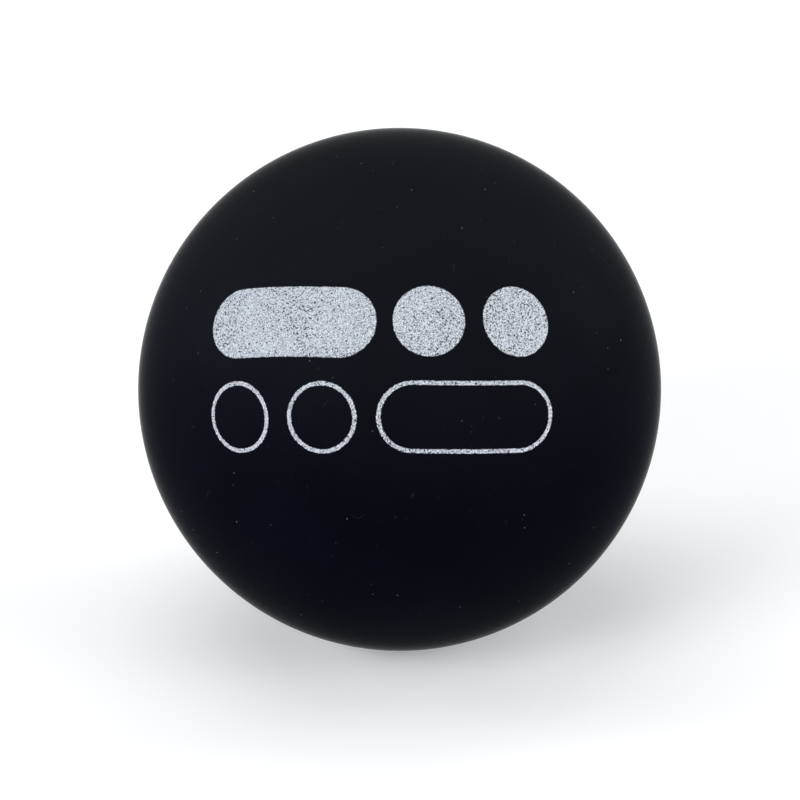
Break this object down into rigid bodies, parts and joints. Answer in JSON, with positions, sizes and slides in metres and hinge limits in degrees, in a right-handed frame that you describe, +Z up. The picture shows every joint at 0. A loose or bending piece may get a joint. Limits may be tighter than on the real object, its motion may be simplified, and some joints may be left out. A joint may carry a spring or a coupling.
{
  "type": "squash ball",
  "caption": "Hollow black rubber ball of bonded half-shells with a worn silver print of bars and dots, struck against a wall with rackets.",
  "frame": {"origin": "centre of the ball", "axes": "+Z up; -Y toward the viewer, with the middle of the front half turned up 25 degrees from -Y toward +Z, and the print just above and to the left of it"},
  "size_m": [0.04, 0.04, 0.04],
  "materials": {
    "rubber": "matte",
    "cement": "satin",
    "ink": "matte"
  },
  "bodies": {
    "root": {"front_half_shell": "rubber", "back_half_shell": "rubber", "seam_cement": "cement", "printed_bar": "ink", "printed_dot_inner": "ink", "printed_dot_outer": "ink", "outlined_bar": "ink", "outlined_dot_inner": "ink", "outlined_dot_outer": "ink"}
  },
  "joints": []
}
